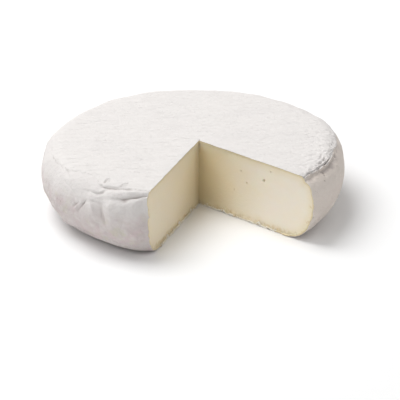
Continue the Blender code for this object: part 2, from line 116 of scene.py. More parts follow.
# Creases (-) and ridges (+): half widths above and below the path in millimetres, then the path's
# points as angle, drop in millimetres and height in millimetres
FOLDS = (
    (0.7, 2.2, ((-45.6, 3.5, -0.1), (-41.8, 7.4, -0.5), (-39.1, 9.4, -1.3), (-36.5, 8.5, -1.8),
                (-33.1, 7.1, -1.6), (-29.7, 5.8, -1.2), (-27.1, 4.9, -1.1), (-22.9, 3.6, -1.0),
                (-19.5, 2.9, -0.9))),
    (2.4, 2.0, ((-34.0, 14.0, 0.3), (-30.8, 12.0, 1.0), (-26.6, 8.8, 1.3), (-21.1, 6.2, 1.2),
                (-19.0, 5.4, 1.1))),
    (1.3, 2.6, ((-38.0, 19.6, -0.1), (-35.7, 18.9, -0.4), (-32.5, 17.8, -0.7), (-29.9, 16.6, -1.0),
                (-25.8, 13.8, -1.3), (-21.3, 10.5, -1.3), (-18.9, 8.2, -1.2))),
    (0.6, 0.6, ((-30.6, 16.9, -0.1), (-29.9, 16.4, -0.4), (-25.8, 13.5, -0.6), (-21.3, 10.1, -0.6),
                (-18.9, 7.8, -0.5))),
    (0.7, 0.8, ((-39.3, 6.5, -0.2), (-39.7, 5.1, -1.6), (-40.2, 2.5, -1.9), (-40.4, 0.5, -1.3),
                (-39.6, -4.1, -0.1))),
    (0.9, 0.9, ((-38.7, 5.0, 0.5), (-39.1, 0.8, 0.5))),
    (0.7, 0.9, ((-31.9, 4.8, -0.5), (-31.6, 4.1, -1.4), (-31.3, 1.7, -1.4), (-31.0, 0.6, -1.0),
                (-29.7, -7.4, -0.3))),
    (0.9, 0.9, ((-30.6, 4.0, 0.4), (-30.2, 0.8, 0.4))),
    (0.7, 0.8, ((-50.4, 33.0, -0.6), (-49.0, 30.3, -1.3), (-47.4, 27.9, -0.6))),
    (0.7, 0.9, ((-47.8, 34.8, -0.8), (-46.2, 30.6, -1.8), (-44.7, 26.6, -1.7), (-43.6, 23.8, -0.4))),
    (0.9, 0.9, ((-48.7, 33.0, 0.5), (-46.0, 27.4, 0.6))),
    (0.8, 1.6, ((-46.3, 17.6, -0.3), (-42.8, 16.6, -0.8), (-39.3, 16.4, -1.1), (-37.4, 14.2, -1.4),
                (-36.9, 12.0, -0.8))),
    (1.0, 1.5, ((-65.7, 11.2, -0.3), (-62.0, 10.8, -0.8), (-60.0, 12.0, -0.7), (-58.2, 13.4, -0.6),
                (-56.0, 14.6, -0.2))),
    (0.9, 1.2, ((-58.5, 18.0, -0.1), (-54.0, 20.0, -0.5), (-50.0, 24.0, -0.6), (-48.5, 27.0, -0.2))),
    (0.9, 1.4, ((-43.5, 24.5, -0.2), (-40.0, 22.8, -0.6), (-36.5, 22.6, -0.5), (-34.0, 21.0, -0.2))),
    (1.6, 1.6, ((-42.5, 19.5, 0.5), (-39.5, 28.0, 0.7), (-38.0, 37.0, 0.3))),
    (3.8, 3.8, ((-32.6, 18.0, 0.6), (-32.0, 24.0, 1.4), (-31.0, 33.0, 1.4), (-31.4, 43.0, 0.5))),
    (3.4, 3.4, ((-41.4, 22.0, 0.4), (-40.6, 27.0, 1.2), (-40.6, 34.0, 0.9), (-40.0, 42.0, 0.3))),
    (0.8, 1.8, ((-38.5, 49.0, -0.3), (-35.5, 51.0, -1.0), (-33.0, 54.5, -0.9))),
    (2.6, 2.6, ((-66.5, 41.0, 0.3), (-65.0, 44.5, 1.3), (-64.0, 46.5, 0.5))),
    (2.0, 2.0, ((-61.5, 45.0, -0.8), (-60.5, 49.0, -0.8))),
    (3.2, 3.2, ((-59.5, 52.0, 1.6), (-57.0, 54.0, 1.0))),
    (0.6, 0.7, ((48.0, 10.0, 0.5), (50.1, 9.7, 0.7), (54.1, 8.9, 0.8), (58.0, 9.6, 0.7),
                (63.2, 9.9, 0.9), (68.5, 10.9, 0.9), (73.4, 10.5, 0.8), (76.8, 10.7, 0.6),
                (83.9, 10.6, 0.6), (89.7, 11.5, 0.4), (94.3, 13.5, 0.1))),
    (0.6, 0.6, ((49.5, 8.0, 0.5), (54.0, 7.2, 0.6), (60.0, 7.6, 0.7), (66.0, 8.2, 0.9),
                (71.0, 8.6, 0.7), (76.0, 8.9, 0.2))),
    (0.5, 0.5, ((50.0, 8.8, -0.9), (54.0, 8.0, -1.0), (57.0, 8.4, -0.5), (60.0, 8.7, -0.9),
                (62.4, 8.9, -0.4), (64.6, 9.1, -1.2), (67.6, 9.5, -1.4), (70.7, 9.7, -1.0),
                (75.0, 9.7, -0.5), (80.0, 9.8, -0.4))),
    (0.7, 0.7, ((61.0, 5.6, -0.3), (65.5, 6.2, -1.2), (69.0, 6.6, -1.0), (73.0, 6.2, -0.3))),
    (0.7, 0.7, ((66.0, 3.0, -0.2), (70.0, 3.6, -0.9), (75.0, 3.0, -0.2))),
    (0.8, 4.6, ((48.0, 11.9, -1.1), (56.0, 11.2, -1.1), (63.5, 12.0, -1.3), (72.0, 12.6, -1.1),
                (80.0, 12.6, -0.9), (88.0, 13.6, -0.4))),
    (1.0, 1.0, ((72.0, 11.2, 0.4), (73.2, 15.7, 0.5), (75.3, 21.9, 0.3))),
    (0.8, 1.2, ((-90.8, 13.0, -0.6), (-93.2, 10.6, -0.8), (-96.5, 9.0, -0.3))),
    (2.4, 3.2, ((-36.8, 18.0, -0.3), (-36.3, 25.0, -1.0), (-35.5, 32.0, -1.5), (-34.8, 37.0, -1.3),
                (-35.5, 44.0, -0.2))),
    (3.6, 3.6, ((-26.8, 18.0, -0.6), (-26.0, 24.0, -1.2), (-26.4, 32.0, -1.2), (-28.0, 42.0, -0.4))),
    (3.2, 3.2, ((-24.5, 20.0, -0.1), (-23.6, 28.0, -0.5), (-23.4, 36.0, -0.6), (-24.0, 44.0, -0.1))),
    (2.5, 2.5, ((-20.5, 18.0, -0.5), (-19.5, 30.0, -0.8), (-19.0, 42.0, -0.4))),
    (6.0, 6.0, ((-70.0, 20.0, -0.3), (-68.0, 42.0, -0.5))),
    (13.0, 12.0, ((-88.0, 38.0, 0.2), (-80.0, 40.0, 1.1), (-70.0, 42.0, 1.6), (-62.0, 46.0, 2.0),
                  (-58.0, 46.0, 1.7), (-52.0, 44.0, 0.4))),
    (6.0, 6.0, ((-55.0, 60.0, -0.5), (-50.0, 60.0, -2.2), (-46.0, 60.0, -2.0), (-43.0, 60.0, -0.3))),
    (1.0, 1.5, ((122.5, 4.5, -0.5), (121.4, 5.4, -1.1), (119.9, 8.4, -1.2))),
    (0.6, 0.8, ((-35.0, -25.0, -0.2), (-32.5, -22.4, -0.6), (-28.6, -22.4, -0.7), (-27.0, -26.0, -0.4))),
)

# Where the thick white felt of the top ends on the wall: angle, drop in millimetres
FELT_EDGE = (
    (-180, 13), (-120, 12), (-100, 13), (-80, 12), (-65, 11.8), (-61.5, 11.2), (-54.8, 5.8), (-49, 2.4),
    (-45.6, 3.6), (-41.8, 7.4), (-39.1, 9.4), (-36.5, 8.5), (-33.1, 7.1), (-29.7, 5.8), (-22.9, 3.6),
    (-19, 2.9), (48, 10.2), (50.1, 9.9), (54.1, 9.1), (58, 9.8), (63.2, 10.1), (68.5, 11.1), (73.4, 10.8),
    (83.9, 10.8), (94.3, 13.7), (110, 15), (140, 13), (180, 13),
)
FELT_STEP = 0.35
FELT_STEP_FADE = 6

# Pits in the rind: angle, drop, radius and depth in millimetres
PITS = (
    (61.9, 13.6, 1.3, 1.5), (60.9, 15.6, 1.1, 1.3), (58.8, 18.9, 0.9, 1.1), (98.4, 12.2, 1.2, 0.7),
    (99.8, 9.1, 1.2, 0.5), (-59.0, 35.4, 0.9, 0.9), (-60.8, 34.6, 0.7, 0.5), (-51.5, 31.0, 0.7, 0.4),
    (-75.6, 12.7, 0.7, 0.6), (-73.0, 12.6, 0.6, 0.5), (-62.9, 11.6, 0.8, 0.8), (-66.5, 12.2, 0.6, 0.5),
)

# Small relief, in layers of noise: height and cell size in millimetres, and seed. The slanting layers
# run across the others.
FELT_EDGE_WANDER = ((0.9, 4.1, 13), (0.5, 1.7, 14))
FOLD_UNEVENNESS = ((1, 4.2, 15),)
WALL_LUMPS = ((0.65, 19, 3), (0.26, 7, 4), (0.45, (11, 11, 12), 12))
WALL_PLEATS = ((0.16, (3.6, 3.6, 7), 7),)
TOP_LINES = ((0.22, (60, 24, 60), 5), (0.19, (17, 4.2, 9), 8))
SHOULDER_GRAIN = ((0.22, 4.3, 9),)
PATCH_WRINKLES = ((0.35, (1.9, 1.7, 1.7), 10),)
PATCH_SLANTING = ((0.50, (3.4, 2.4, 2.7), 6),)
CREST_SCALES = ((0.6, 1.6, 16),)
CREST_SLANTING = ((0.5, 2.7, 17),)
SLANT = np.array(((0.8, 0.6, 0), (-0.6, 0.8, 0), (0, 0, 1)))
RIGHT_FOLDS_START = 40
UNEVEN_SHARE_LEFT, UNEVEN_SHARE_RIGHT = 0.3, 0.8

# Where the relief fades: over the shoulder, towards the foot, and round the wheel away from the folds
SHOULDER_FADE = 9 * MM
FOOT_FADE = 6 * MM
FOLDED_SIDE = -45
CALM_START, CALM_END, CALM_SHARE = 40, 70, 0.6

# The wrinkled patch, the scaly crest and the shaded strip under it, all on the right shoulder: the
# angles between which each starts and ends
PATCH_START, PATCH_END = (44, 56), (96, 112)
CREST_START, CREST_END = (46, 50), (84, 96)
CREST_ABOVE_FELT_EDGE, CREST_HALF_WIDTH = 2.4, 3.4
LIP_START, LIP_END = (47, 52), (84, 98)


def bell(distance, half_width):
    return np.exp(-((distance / half_width) ** 2))


def ease(value, start, end):
    """0 before start, 1 after end, and the curve 3t^2 - 2t^3 between."""
    share = np.clip((value - start) / (end - start), 0, 1)
    return share * share * (3 - 2 * share)


def soft_noise(places, size, seed):
    """Smooth noise from -1 to 1: random values at the corners of cells of the given size, which may
    differ along X, Y and Z, blended across each cell by the curve 3t^2 - 2t^3."""
    lattice = np.random.default_rng(seed).uniform(-1, 1, (32, 32, 32))
    cell = places / np.asarray(size)
    corner = np.floor(cell).astype(int)
    share = ease(cell - corner, 0, 1)
    total = np.zeros(cell.shape[:-1])
    for step in np.ndindex(2, 2, 2):
        weight = np.prod(np.where(step, share, 1 - share), axis=-1)
        index = (corner + step) % 32
        total += weight * lattice[index[..., 0], index[..., 1], index[..., 2]]
    return total


def layered_noise(places, layers):
    """Sum of soft noises, each of its own height, cell size in millimetres and seed."""
    return sum(height * soft_noise(places, np.multiply(size, MM), seed) for height, size, seed in layers)


def between(value, start, end):
    """Rises from 0 to 1 over the start's two values, and falls back to 0 over the end's two."""
    return ease(value, *start) * (1 - ease(value, *end))


def half_section(samples=1500):
    """The turned outline from the top's edge to the foot's edge. Above the widest height it follows
    across^n + rise^n = 1, below it a quarter ellipse. Returns each sample's drop, radius, height and
    the two parts of its outward normal."""
    turn = np.linspace(0, np.pi / 2, samples)
    power = 2 / SHOULDER_SQUARENESS
    radius = np.concatenate([
        TOP_RADIUS + SHOULDER_REACH * np.sin(turn) ** power,
        FOOT_RADIUS + LOWER_CORNER_REACH * np.cos(turn[1:]),
    ])
    height = np.concatenate([
        WIDEST_HEIGHT + (WHEEL_HEIGHT - WIDEST_HEIGHT) * np.clip(np.cos(turn), 0, 1) ** power,
        WIDEST_HEIGHT * (1 - np.sin(turn[1:])),
    ])
    drop = np.concatenate([[0], np.cumsum(np.hypot(np.diff(radius), np.diff(height)))])
    out, up = -np.gradient(height, drop), np.gradient(radius, drop)
    size = np.hypot(out, up)
    return drop, radius, height, out / size, up / size


SECTION = half_section()


def beside_path(angle, drop, path):
    """Nearest point of a path of straight runs on the unrolled rind: the distance to it in millimetres,
    positive on the right of the path as it runs, which is below a path from left to right, and the
    path's own height there."""
    per_degree = WHEEL_RADIUS / MM * math.pi / 180
    nearest = np.full(angle.shape, np.inf)
    side = np.zeros(angle.shape)
    height = np.zeros(angle.shape)
    for (angle_a, drop_a, height_a), (angle_b, drop_b, height_b) in zip(path, path[1:]):
        run = np.array(((angle_b - angle_a) * per_degree, drop_b - drop_a))
        across, down = (angle - angle_a) * per_degree, drop / MM - drop_a
        share = np.clip((across * run[0] + down * run[1]) / (run @ run), 0, 1)
        distance = np.hypot(across - share * run[0], down - share * run[1])
        closer = distance < nearest
        nearest = np.where(closer, distance, nearest)
        side = np.where(closer, np.sign(run[0] * down - run[1] * across), side)
        height = np.where(closer, height_a + share * (height_b - height_a), height)
    return nearest * side, height


def past_felt(angle, drop):
    """How far a place lies below the felt's edge, in millimetres."""
    edge_angles, edge_drops = np.array(FELT_EDGE).T
    places = np.stack([angle * 2 * MM, drop, 0 * drop], axis=-1)
    wander = layered_noise(places, FELT_EDGE_WANDER)
    return drop / MM - np.interp(angle, edge_angles, edge_drops) + wander


def felt_cover(angle, drop):
    """1 on the thick white felt of the top and 0 past its edge on the wall."""
    return 1 - ease(past_felt(angle, drop), -0.4, 0.5)


def pit_depth(angle, drop):
    """Depth of the small pits of the rind, in millimetres."""
    total = np.zeros(angle.shape)
    for pit_angle, pit_drop, radius, depth in PITS:
        distance = np.hypot((angle - pit_angle) * 2, drop / MM - pit_drop)
        total += depth * ease(-distance, -radius, 0)
    return total


def crest_share(angle, drop):
    """1 on the scaly crest of the right shoulder, 0 away from it."""
    from_crest = past_felt(angle, drop) + CREST_ABOVE_FELT_EDGE
    return between(angle, CREST_START, CREST_END) * bell(from_crest, CREST_HALF_WIDTH)


def under_lip(angle, drop):
    """1 on the shaded strip of wall under the crest, 0 away from it."""
    return between(angle, LIP_START, LIP_END) * between(past_felt(angle, drop), (-0.4, 0.8), (4, 13))


def rind_relief(angle, drop, places):
    """Height of the real rind over the plain drum: the rim's swell, the felt's edge, the folds, the
    pits, soft lumps and upright pleats on the wall, lines from the mat on the top, and a wrinkled
    patch and a scaly crest beside the right cut. It fades out towards the foot."""
    slanted = places @ SLANT
    swell_angles, swells = np.array(RIM_SWELL).T
    on_wall = 1 - bell(np.maximum(drop, 0), SHOULDER_FADE)
    relief = np.interp(angle, swell_angles, swells) * on_wall
    relief -= FELT_STEP * (1 - felt_cover(angle, drop)) * bell(past_felt(angle, drop), FELT_STEP_FADE)
    uneven_share = np.where(angle > RIGHT_FOLDS_START, UNEVEN_SHARE_RIGHT, UNEVEN_SHARE_LEFT)
    uneven = 1 + uneven_share * layered_noise(places, FOLD_UNEVENNESS)
    for above, below, path in FOLDS:
        distance, height = beside_path(angle, drop, path)
        relief += uneven * height * np.where(distance > 0, bell(distance, below), bell(distance, above))
    relief -= pit_depth(angle, drop)
    lumpy = 1 - CALM_SHARE * ease(np.abs(angle - FOLDED_SIDE), CALM_START, CALM_END)
    relief += on_wall * (lumpy * layered_noise(places, WALL_LUMPS) + layered_noise(places, WALL_PLEATS))
    relief += (1 - on_wall) * layered_noise(places, TOP_LINES)
    relief += bell(drop - 6 * MM, SHOULDER_FADE) * layered_noise(places, SHOULDER_GRAIN)
    wrinkled = between(angle, PATCH_START, PATCH_END) * ease(drop, -30 * MM, -2 * MM)
    wrinkles = layered_noise(places, PATCH_WRINKLES) + layered_noise(slanted, PATCH_SLANTING)
    relief += wrinkled * felt_cover(angle, drop) * wrinkles
    scales = layered_noise(places, CREST_SCALES) + layered_noise(slanted, CREST_SLANTING)
    relief += crest_share(angle, drop) * scales
    return relief * MM * ease(places[..., 2], 0, FOOT_FADE) - SKIN_INSET


def mat_groove(y):
    """Height of the underside over the table: V-shaped grooves at the mat's pitch, parallel to X."""
    aside = np.abs((y - MAT_GROOVE_Y + MAT_PITCH / 2) % MAT_PITCH - MAT_PITCH / 2)
    return MAT_GROOVE_DEPTH * np.clip(1 - aside / MAT_GROOVE_HALF_WIDTH, 0, 1)


def corner_pull(angle, height, radius):
    """How far the wall and the foot's rim are drawn in beside the left cut."""
    heights, pulls = np.array(CORNER_PULL).T
    per_degree = WHEEL_RADIUS / MM * math.pi / 180
    loose = np.clip((radius - CORNER_STILL_RADIUS) / (FOOT_RADIUS - CORNER_STILL_RADIUS), 0, 1)
    beside = bell((angle - CORNER_ANGLE) * per_degree, CORNER_HALF_WIDTH)
    return np.interp(height / MM, heights, pulls) * beside * loose * MM


def spoke_length(spoke, radius):
    """Distance along a spoke from the cut point to the circle of that radius about the turning axis."""
    lean = spoke @ CUT_POINT
    return -lean + np.sqrt(np.maximum(lean ** 2 + radius ** 2 - CUT_POINT @ CUT_POINT, 0))


def spokes_at(angles):
    """Level directions at these angles round the wheel."""
    turn = np.radians(angles)
    return np.stack([np.sin(turn), -np.cos(turn)], axis=-1)


def rind_rows(top_shares, drops, ring_radii=()):
    """The rows of the rind's grid, from the cut point over the top and wall to a ring under the foot:
    share of the spoke, plain radius, plain height and the normal's two parts."""
    top = [(share, TOP_RADIUS, WHEEL_HEIGHT, 0, 1) for share in top_shares]
    on_section = [np.interp(drops, SECTION[0], part) for part in SECTION[1:]]
    wall = np.transpose([np.ones(len(drops)), *on_section])
    ring = [(1, radius, 0, 0, -1) for radius in ring_radii]
    return np.concatenate([np.reshape(part, (-1, 5)) for part in (top, wall, ring)])


def knife_slit(level):
    """Depth of the slit that the knife cut past the meeting point, in line with the left cut."""
    slit_way = spokes_at(LEFT_CUT_ANGLE + 180)
    along = (level - CUT_POINT) @ slit_way
    aside = (level - CUT_POINT) @ np.array((-slit_way[1], slit_way[0]))
    in_slit = between(along, (-0.1 * MM, 0.2 * MM), (KNIFE_OVERRUN / 2, KNIFE_OVERRUN))
    return KNIFE_SLIT_DEPTH * in_slit * bell(aside, KNIFE_SLIT_HALF_WIDTH)


def rind_surface(angles, rows, depth):
    """Points of the rind at a depth under its skin, one row of points for each grid row and one column
    for each spoke: plain point plus (relief - depth) along the section's normal, kept on its spoke and
    above the mat's grooves. Also gives the masks that the rind's colours need."""
    share, radius, height, out, up = (part[:, None] for part in rows.T)
    spoke = spokes_at(angles)[None]
    level = CUT_POINT + (share * spoke_length(spoke, radius))[..., None] * spoke
    from_axis = np.hypot(level[..., 0], level[..., 1])
    angle = np.degrees(np.arctan2(level[..., 0], -level[..., 1]))
    places = np.concatenate([level, np.broadcast_to(height, from_axis.shape)[..., None]], axis=-1)
    on_top = height >= WHEEL_HEIGHT
    wall_drop = np.where(out + up > 0, np.interp(-height, -SECTION[2], SECTION[0]), SECTION[0][-1])
    drop = np.where(on_top, from_axis - TOP_RADIUS, wall_drop)
    relief = rind_relief(angle, drop, places) - knife_slit(level) * on_top
    masks = {
        "hollow": np.clip(-relief / MM, 0, 3),
        "felt": felt_cover(angle, drop),
        "under_lip": under_lip(angle, drop),
        "pit": np.clip(pit_depth(angle, drop), 0, 1),
        "crest": crest_share(angle, drop),
    }
    move = relief - depth
    drawn = radius + out * move - corner_pull(angle, height, radius)
    xy = CUT_POINT + (share * spoke_length(spoke, drawn))[..., None] * spoke
    z = height + up * move
    table_gap = mat_groove(xy[..., 1]) * (height < FOOT_FADE)
    z = np.maximum(z, table_gap + depth * (z < depth))
    return np.concatenate([xy, z[..., None]], axis=-1), masks


# The torn edge of the rind along the cuts: how it reaches into the notch, in millimetres, and the
# heights between which it gives way to a clean cut
TORN_REACH = 0.3
TORN_LAYERS = ((0.9, 4.5), (1.0, 1.9))
CLEAN_REACH = 0.05
TORN_WIDTH = 1.2 * MM
CLEAN_CUT_HEIGHTS = (36 * MM, 50 * MM)


def tear(points, angle, side, seed):
    """Moves a cut's edge of the rind unevenly into the notch, as far as a torn rind reaches."""
    spoke = spokes_at(angle)
    into_notch = side * np.array((-spoke[1], spoke[0]))
    off = (points[..., :2] - CUT_POINT) @ into_notch
    from_point = (points[..., :2] - CUT_POINT) @ spoke
    low = 1 - ease(points[..., 2], *CLEAN_CUT_HEIGHTS)
    layers = [(*layer, seed + number) for number, layer in enumerate(TORN_LAYERS)]
    ragged = np.maximum(TORN_REACH + layered_noise(points, layers), 0)
    reach = (CLEAN_REACH + low * ragged) * MM * ease(from_point, 0, 4 * MM)
    moved = points.copy()
    moved[..., :2] += (reach * bell(off, TORN_WIDTH))[..., None] * into_notch
    return moved


def grid_faces(rows, columns, first=0):
    """Corner numbers of the quads of a grid whose points are stored row by row."""
    corner = first + np.arange(rows - 1)[:, None] * columns + np.arange(columns - 1)
    return np.stack([corner, corner + 1, corner + columns + 1, corner + columns], axis=-1).reshape(-1, 4)


WELD_GAP = 0.002 * MM
SLIVER_GAP = 0.0005 * MM
SHARP_ANGLE = math.radians(62)


def closed_piece(name, grids, masks, extra_faces=()):
    """Joins grids of points into one closed mesh at the turning axis. masks holds, for each named
    attribute, one array for each grid."""
    counts = np.cumsum([0] + [grid.shape[0] * grid.shape[1] for grid in grids])
    points = np.concatenate([grid.reshape(-1, 3) for grid in grids]) + np.array(TURNING_AXIS)
    faces = [grid_faces(*grid.shape[:2], first).tolist() for grid, first in zip(grids, counts)]
    mesh = bpy.data.meshes.new(name)
    mesh.from_pydata(points, [], sum(faces, []) + list(extra_faces))
    for mask_name, parts in masks.items():
        values = np.concatenate([np.ravel(part) for part in parts]).astype(np.float32)
        mesh.attributes.new(mask_name, "FLOAT", "POINT").data.foreach_set("value", values)
    shape = bmesh.new()
    shape.from_mesh(mesh)
    bmesh.ops.remove_doubles(shape, verts=shape.verts, dist=WELD_GAP)
    bmesh.ops.dissolve_degenerate(shape, edges=shape.edges, dist=SLIVER_GAP)
    bmesh.ops.recalc_face_normals(shape, faces=shape.faces)
    shape.to_mesh(mesh)
    shape.free()
    mesh.shade_smooth()
    mesh.set_sharp_from_angle(angle=SHARP_ANGLE)
    piece = bpy.data.objects.new(name, mesh)
    bpy.context.scene.collection.objects.link(piece)
    return piece


# Spokes and rows stand closer near the cuts, near the cut point and on the shoulder. The lining has
# fewer columns than the skin, and only at the cuts, where it shows, is it just under the skin.
CLOSE_SPOKES_END, CLOSE_SPOKES_START = 104, 296
RING_RADII = np.array((87.5, 84.5, 79)) * MM
LINING_STRIDE = 16
RIM_DEPTHS = np.array((0, 0.25, 0.6, 1))

# Each cut's angle, the side of it on which the notch lies, and the seed of its torn edge
CUTS = ((RIGHT_CUT_ANGLE, -1, 21), (LEFT_CUT_ANGLE, 1, 31))

spoke_angles = np.concatenate([
    np.linspace(RIGHT_CUT_ANGLE, CLOSE_SPOKES_END, 165, endpoint=False),
    np.linspace(CLOSE_SPOKES_END, CLOSE_SPOKES_START, 145, endpoint=False),
    np.linspace(CLOSE_SPOKES_START, LEFT_CUT_ANGLE, 165),
])
near_point = np.linspace(0, 0.03, 9)[:-1]
out_to_shoulder = 1 - np.linspace(0.97 ** 0.8, 0, 78)[:-1] ** 1.25
top_shares = np.concatenate([near_point, out_to_shoulder])
shoulder_drops = np.linspace(0, 40 * MM, 68, endpoint=False)
lower_drops = np.linspace(40 * MM, SECTION[0][-1], 28)
wall_drops = np.concatenate([shoulder_drops, lower_drops])
rows = rind_rows(top_shares, wall_drops, RING_RADII)
inner_columns = np.unique(np.append(np.arange(0, len(spoke_angles), LINING_STRIDE), len(spoke_angles) - 1))
lining_depth = np.full(len(inner_columns), LINING_DEPTH)
lining_depth[[0, -1]] = RIND_THICKNESS
skin, skin_masks = rind_surface(spoke_angles, rows, 0)
lining = rind_surface(spoke_angles[inner_columns], rows, lining_depth)[0]
for cut in CUTS:
    skin = tear(skin, *cut)
    lining = tear(lining, *cut)
rims = []
for cut, column in zip(CUTS, (0, -1)):
    levels = [rind_surface(np.array(cut[:1]), rows, depth * RIND_THICKNESS)[0] for depth in RIM_DEPTHS]
    rim = tear(np.concatenate(levels, axis=1), *cut)
    rim[:, 0], rim[:, -1] = skin[:, column], lining[:, column]
    rims.append(rim)

# Faces that close the shell under the foot, between the last rows of the skin and of the lining
last_skin = (len(rows) - 1) * len(spoke_angles)
last_lining = len(rows) * len(spoke_angles) + (len(rows) - 1) * len(inner_columns)
ring_faces = [
    [*range(last_skin + start, last_skin + end + 1), last_lining + number + 1, last_lining + number]
    for number, (start, end) in enumerate(zip(inner_columns, inner_columns[1:]))
]
first_rim = len(rows) * (len(spoke_angles) + len(inner_columns))
last_right, last_left = (first_rim + (len(rows) * number - 1) * len(RIM_DEPTHS) for number in (1, 2))
ring_faces[0] += [last_right + 2, last_right + 1]
ring_faces[-1][-2:-2] = [last_left + 1, last_left + 2]
rim_depth = np.broadcast_to(RIM_DEPTHS, rims[0].shape[:2])
unmarked = [np.zeros(part.shape[:2]) for part in (lining, *rims)]
rind = closed_piece(
    "rind",
    [skin, lining, *rims],
    {
        "under_skin": [np.zeros(skin.shape[:2]), np.ones(lining.shape[:2]), rim_depth, rim_depth],
        **{mask_name: [mask, *unmarked] for mask_name, mask in skin_masks.items()},
    },
    ring_faces,
)
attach(rind, "root")
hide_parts("brie_wheel")


def add_node(tree, kind, inputs=None, **settings):
    """A shader node with its settings; each input takes a value or another node's output."""
    node = tree.nodes.new("ShaderNode" + kind)
    for name, value in settings.items():
        setattr(node, name, value)
    for name, value in (inputs or {}).items():
        if isinstance(value, bpy.types.NodeSocket):
            tree.links.new(value, node.inputs[name])
        else:
            node.inputs[name].default_value = value
    return node


def new_group(name, inputs, output_name, output_kind):
    """An empty node group with float or vector inputs, given as name: value, and one output."""
    group = bpy.data.node_groups.new(name, "ShaderNodeTree")
    for label, value in inputs.items():
        kind = "NodeSocketFloat" if isinstance(value, float) else "NodeSocketVector"
        group.interface.new_socket(label, in_out="INPUT", socket_type=kind).default_value = value
    group.interface.new_socket(output_name, in_out="OUTPUT", socket_type=output_kind)
    return group, group.nodes.new("NodeGroupInput").outputs, group.nodes.new("NodeGroupOutput").inputs[0]


def patches_group():
    """Soft patches of a given size: noise over the object's own coordinates, 0 where it is under
    Start and 1 where it is over End."""
    group, given, result = new_group("patches", {"Size": (1, 1, 1), "Start": 0.4, "End": 0.6},
                                     "Mask", "NodeSocketFloat")
    own = add_node(group, "TexCoord").outputs["Object"]
    cells = add_node(group, "VectorMath", {0: own, 1: given["Size"]}, operation="DIVIDE")
    noise_inputs = {"Vector": cells.outputs[0], "Scale": 1, "Detail": 3, "Roughness": 0.55}
    noise = add_node(group, "TexNoise", noise_inputs)
    mask = add_node(group, "MapRange", {"Value": noise.outputs["Fac"], "From Min": given["Start"],
                                        "From Max": given["End"]}, interpolation_type="SMOOTHSTEP")
    group.links.new(mask.outputs["Result"], result)
    return group


PATCHES = patches_group()


def patches(tree, size, start, end):
    """Mask of soft patches; the size is in millimetres along X, Y and Z."""
    inputs = {"Size": [length * MM for length in size], "Start": start, "End": end}
    return add_node(tree, "Group", inputs, node_tree=PATCHES).outputs["Mask"]


def times(tree, first, second):
    return add_node(tree, "Math", {0: first, 1: second}, operation="MULTIPLY").outputs[0]


def ramp(tree, value, start, end):
    """0 where the value is at start and 1 where it is at end, smooth between."""
    inputs = {"Value": value, "From Min": start, "From Max": end}
    return add_node(tree, "MapRange", inputs, interpolation_type="SMOOTHSTEP").outputs["Result"]


def tinted(tree, colour, share, tint):
    """The colour, moved towards the tint by a share."""
    return add_node(tree, "Mix", {0: share, 6: colour, 7: (*tint, 1)}, data_type="RGBA").outputs[2]


def marked(tree, name):
    return add_node(tree, "Attribute", attribute_name=name).outputs["Fac"]


def bumped(tree, height, distance, normal=None):
    inputs = {"Height": height, "Distance": distance * MM, "Strength": 1}
    if normal:
        inputs["Normal"] = normal
    return add_node(tree, "Bump", inputs).outputs["Normal"]


def new_material(name, roughness, specular):
    material = bpy.data.materials.new(name)
    material.use_nodes = True
    shader = material.node_tree.nodes["Principled BSDF"]
    shader.inputs["Roughness"].default_value = roughness
    shader.inputs["Specular IOR Level"].default_value = specular
    return material, material.node_tree, shader.inputs


FELT_WHITE = (0.775, 0.746, 0.727)
FELT_CLOUD = (0.745, 0.717, 0.703)
FELT_STREAK = (0.715, 0.682, 0.663)
BARE_RIND = (0.69, 0.657, 0.643)
BARE_STREAK = (0.64, 0.59, 0.57)
LOW_WALL = (0.64, 0.575, 0.56)
RIGHT_WALL = (0.75, 0.67, 0.60)
LIP_SHADE = (0.58, 0.505, 0.45)
CREASE_PAINTED_SHADE = (0.50, 0.45, 0.43)
PIT_PAINTED_SHADE = (0.30, 0.245, 0.215)
CREST_SPECK = (0.60, 0.54, 0.50)
RIM_TAN = (0.72, 0.60, 0.37)
INNER_IVORY = (0.86, 0.76, 0.54)

# Patches low on the wall: size in millimetres, start and end of the noise, share and colour
WALL_PATCHES = (
    ((14, 14, 10), 0.45, 0.62, 0.55, (0.60, 0.52, 0.515)),
    ((15, 15, 11), 0.50, 0.66, 0.6, (0.66, 0.545, 0.55)),
    ((11, 11, 8), 0.52, 0.68, 0.55, (0.62, 0.59, 0.48)),
    ((7, 7, 6), 0.50, 0.70, 0.45, (0.78, 0.745, 0.72)),
)

# Bumps all over the rind: size in millimetres, start and end of the noise, height in millimetres
FINE_BUMPS = (
    ((4.5, 3.2, 4), 0.3, 0.75, 0.34),
    ((1.7, 1.4, 1.6), 0.3, 0.7, 0.14),
    ((0.6, 0.6, 0.6), 0.3, 0.7, 0.03),
)

white_rind, tree, surface = new_material("white_rind", 0.9, 0.2)
own = add_node(tree, "SeparateXYZ", {0: add_node(tree, "TexCoord").outputs["Object"]}).outputs
felt = marked(tree, "felt")
crest = marked(tree, "crest")
bare = add_node(tree, "Math", {0: 1.0, 1: felt}, operation="SUBTRACT").outputs[0]
low_on_wall = ramp(tree, own[2], 44 * MM, 22 * MM)
clouds = times(tree, patches(tree, (34, 22, 20), 0.45, 0.7), 0.5)
colour = tinted(tree, (*FELT_WHITE, 1), clouds, FELT_CLOUD)
fine_streaks = times(tree, patches(tree, (9, 3.2, 5), 0.5, 0.75), 0.3)
colour = tinted(tree, colour, fine_streaks, FELT_STREAK)
colour = tinted(tree, colour, times(tree, bare, 0.3), BARE_RIND)
colour = tinted(tree, colour, times(tree, low_on_wall, 0.75), LOW_WALL)
for size, start, end, share, tint in WALL_PATCHES:
    wall_patches = times(tree, patches(tree, size, start, end), share)
    colour = tinted(tree, colour, times(tree, low_on_wall, wall_patches), tint)
